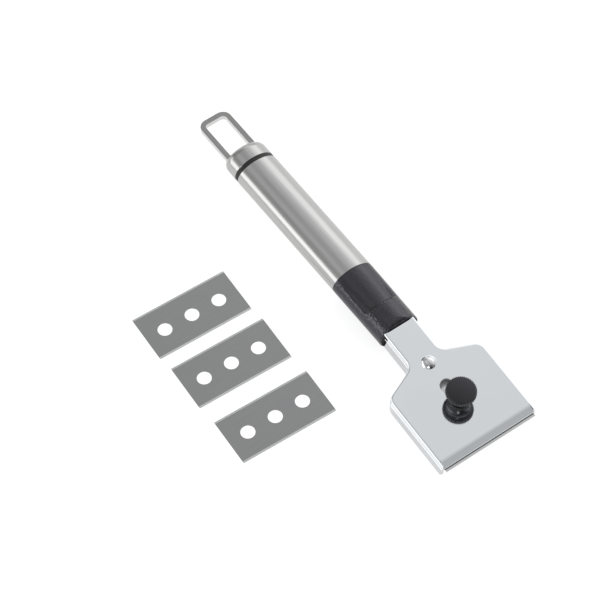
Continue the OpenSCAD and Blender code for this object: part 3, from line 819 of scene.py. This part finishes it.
def thumb_knob():
    """The clamp knob: a flared foot, a knurled rim and a slightly crowned top."""
    shape = Shape()
    rim_under = KNOB_TOP - KNOB_RIM
    rim_top = KNOB_TOP - KNOB_CROWN
    foot = 2 * SLIDE_GAP + WASHER_T
    core = KNOB_R - KNURL_DEPTH - KNURL_FOOT
    flare = rim_under - foot - KNOB_FOOT_H
    profile = [
        (STUD_BORE_R + KNOB_RECESS, foot + KNOB_EDGE),
        (KNOB_FOOT_R - KNOB_EDGE, foot),
        (KNOB_FOOT_R, foot + KNOB_EDGE),
    ]
    steps = 16
    for i in range(steps + 1):
        a = math.radians(90 * i / steps)
        r = KNOB_FOOT_R + (core - KNOB_FOOT_R) * (1 - math.cos(a))
        profile.append((r, rim_under - flare * (1 - math.sin(a))))
    profile += [
        (KNOB_R, rim_under + KNURL_SLOPE),
        (KNOB_R, rim_top - KNOB_CHAMFER),
        (core - KNOB_TOP_IN, rim_top - KNOB_TOP_DOWN),
    ]
    steps = 12
    for i in range(steps):
        share = 1 - i / steps
        profile.append(((core - KNOB_CROWN_IN) * share, KNOB_TOP - KNOB_CROWN * share**2))

    def knurl(r, a):
        if r <= core + KNURL_FOOT / 2:
            return r
        return r - KNURL_DEPTH * (0.5 - 0.5 * math.cos(KNURL_COUNT * a))

    rings = revolve(shape, profile, STUD_X, steps=KNURL_COUNT * 8, radius=knurl)
    shape.cap(rings[0])
    shape.cap(rings[-1])
    piece("clamp_knob", shape, IN_HEAD, [knob_black], "knob", ["thumb_knob"])


def clamp_washer():
    shape = Shape()
    low, high, edge = SLIDE_GAP, SLIDE_GAP + WASHER_T, WASHER_EDGE
    profile = [
        (STUD_BORE_R, low),
        (WASHER_R - edge, low),
        (WASHER_R, low + edge),
        (WASHER_R, high - edge),
        (WASHER_R - edge, high),
        (STUD_BORE_R, high),
        (STUD_BORE_R, low),
    ]
    revolve(shape, profile, STUD_X)
    piece("foot_washer", shape, IN_HEAD, [washer_nylon], "washer", ["clamp_washer"])


def blade(name, place, body, node):
    """A three-hole blade, ground on both edges, with its underside at z = 0."""
    shape = Shape()
    half = BLADE_W / 2
    holes = {}

    def outline(side, level):
        corners = ((-side, -1), (side, -1), (side, 1), (-side, 1))
        return shape.ring([(x, end * BLADE_L / 2, level) for x, end in corners])

    for level in (0, BLADE_T):
        inward = BLADE_HOLE_EDGE if level else -BLADE_HOLE_EDGE
        holes[level] = []
        for i in (-1, 0, 1):
            rim = arc(0, i * BLADE_HOLE_PITCH, BLADE_HOLE_R + BLADE_HOLE_EDGE, 0, 360, 64)[:-1]
            wall = arc(0, i * BLADE_HOLE_PITCH, BLADE_HOLE_R, 0, 360, 64)[:-1]
            rings = [
                shape.ring([(x, y, z) for x, y in points])
                for points, z in ((rim, level), (wall, level - inward))
            ]
            shape.skin(rings)
            holes[level].append(rings)
    for below, above in zip(holes[0], holes[BLADE_T]):
        shape.skin([below[1], above[1]])
    faces = {}
    for level in (0, BLADE_T):
        faces[level] = outline(half - BLADE_BEVEL, level)
        shape.flat(faces[level], *[rings[0] for rings in holes[level]])
    tips = outline(half, BLADE_T / 2)
    low, high = faces[0], faces[BLADE_T]
    for a, b in ((1, 2), (3, 0)):
        shape.cap([high[a], high[b], tips[b], tips[a]], slot=1)
        shape.cap([low[b], low[a], tips[a], tips[b]], slot=1)
    for a, b in ((0, 1), (2, 3)):
        shape.cap([low[a], low[b], tips[b], high[b], high[a], tips[a]])
    piece(name, shape, place, [blade_steel, blade_ground], body, [node], crease=5)


def blades():
    held = IN_HEAD @ Matrix.Translation((BLADE_MID, 0, BLADE_UNDER))
    blade("held_blade", held, "slider", "scraper_blade")
    for i in (1, 2, 3):
        middle = centre(f"spare_blade_{i}")
        low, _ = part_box(f"spare_blade_{i}")
        place = (
            Matrix.Translation((middle.x, middle.y, low.z))
            @ Matrix.Rotation(SPARE_TURN, 4, "Z")
            @ Matrix.Scale(MM, 4)
        )
        blade(f"loose_blade_{i}", place, f"spare_{i}", f"spare_blade_{i}")


def inner_pieces():
    """The CAD's own solids, which are right as they are, get their finish."""
    finishes = {
        "loop_pin": plain_steel,
        "end_plug": dark_plastic,
        "handle_core": dark_plastic,
        "tang_pins": plain_steel,
        "rivet_spacer": plain_steel,
        "blade_carrier": plain_steel,
        "carrier_pegs": plain_steel,
        "clamp_stud": plain_steel,
        "knob_insert": insert_brass,
    }
    for node, material in finishes.items():
        mesh = frame["nodes"][node].data
        mesh.materials.clear()
        mesh.materials.append(material)


# Studio


def camera():
    data = bpy.data.cameras.new("camera")
    data.lens = CAMERA_LENS
    data.sensor_width = CAMERA_SENSOR
    data.clip_start = CAMERA_NEAR
    data.clip_end = CAMERA_FAR
    obj = bpy.data.objects.new("camera", data)
    bpy.context.scene.collection.objects.link(obj)
    back = Vector(
        (
            math.sin(CAMERA_AZIMUTH) * math.cos(CAMERA_ELEVATION),
            -math.cos(CAMERA_AZIMUTH) * math.cos(CAMERA_ELEVATION),
            math.sin(CAMERA_ELEVATION),
        )
    )
    turn = (-back).to_track_quat("-Z", "Y").to_matrix().to_4x4()
    obj.matrix_world = (
        Matrix.Translation(CAMERA_TARGET + back * CAMERA_DISTANCE)
        @ turn
        @ Matrix.Rotation(CAMERA_ROLL, 4, "Z")
    )
    bpy.context.scene.camera = obj


def panel(name, at, size, radiance):
    """A soft panel that faces the object, given by how bright it looks."""
    data = bpy.data.lights.new(name, "AREA")
    data.shape = "RECTANGLE"
    data.size, data.size_y = size
    data.energy = radiance * math.pi * size[0] * size[1]
    obj = bpy.data.objects.new(name, data)
    bpy.context.scene.collection.objects.link(obj)
    obj.location = at
    obj.rotation_mode = "QUATERNION"
    obj.rotation_quaternion = (-Vector(at)).to_track_quat("-Z", "Y")


def graded(tree, value, stops):
    """The level at value, eased from each of the stops, which give a level at a value, to the next."""
    low, high, top = min(stops), max(stops), max(stops.values())
    ramp = tree.nodes.new("ShaderNodeValToRGB")
    ramp.color_ramp.interpolation = "EASE"
    elements = ramp.color_ramp.elements
    elements[0].position, elements[1].position = 0, 1
    for at in list(stops)[1:-1]:
        elements.new((at - low) / (high - low))
    for element, level in zip(elements, stops.values()):
        element.color = (level / top, level / top, level / top, 1)
    tree.links.new(spread(tree, value, 0, 1, start=low, end=high), ramp.inputs["Fac"])
    return math_node(tree, "MULTIPLY", ramp.outputs["Color"], top)


def world():
    """A pale room, whose brightness changes softly round the x axis and along it."""
    room = bpy.data.worlds.new("studio")
    room.use_nodes = True
    tree = room.node_tree
    where = tree.nodes.new("ShaderNodeTexCoord")
    axes = tree.nodes.new("ShaderNodeSeparateXYZ")
    tree.links.new(where.outputs["Generated"], axes.inputs["Vector"])
    angle = math_node(tree, "ARCTAN2", axes.outputs["Z"], axes.outputs["Y"])
    round_x = graded(tree, math_node(tree, "DEGREES", angle, 0.0), ROOM_ROUND)
    along_x = graded(tree, axes.outputs["X"], ROOM_ALONG)
    background = tree.nodes["Background"]
    background.inputs["Color"].default_value = ROOM_COLOUR
    tree.links.new(math_node(tree, "MULTIPLY", round_x, along_x), background.inputs["Strength"])
    bpy.context.scene.world = room


def floor():
    """A pale table that shows white where it is lit and keeps the shadow."""
    bpy.ops.mesh.primitive_plane_add(size=FLOOR_SIZE, location=(0, 0, -FLOOR_GAP * MM))
    table = bpy.context.object
    table.name = "table"
    material, tree, shader = principled("table_white", Roughness=0.9, Specular_IOR_Level=0.0)
    shader.inputs["Base Color"].default_value = (FLOOR_COLOUR, FLOOR_COLOUR, FLOOR_COLOUR, 1)
    shader.inputs["Emission Color"].default_value = (1, 1, 1, 1)
    path = tree.nodes.new("ShaderNodeLightPath")
    mirrored = math_node(tree, "MAXIMUM", path.outputs["Is Glossy Ray"], path.outputs["Is Transmission Ray"])
    lift = math_node(
        tree,
        "ADD",
        math_node(tree, "MULTIPLY", path.outputs["Is Camera Ray"], FLOOR_SEEN),
        math_node(tree, "MULTIPLY", mirrored, FLOOR_MIRRORED),
    )
    tree.links.new(lift, shader.inputs["Emission Strength"])
    table.data.materials.append(material)


camera()
world()
floor()
panel("far_panel", **FAR_PANEL)
panel("near_panel", **NEAR_PANEL)
panel("front_panel", **FRONT_PANEL)
hanging_loop()
end_cap()
seal_ring()
handle_tube()
grip()
cover_plate()
base_channel()
neck_rivet()
thumb_knob()
clamp_washer()
blades()
inner_pieces()

bpy.context.scene.view_settings.view_transform = "Standard"
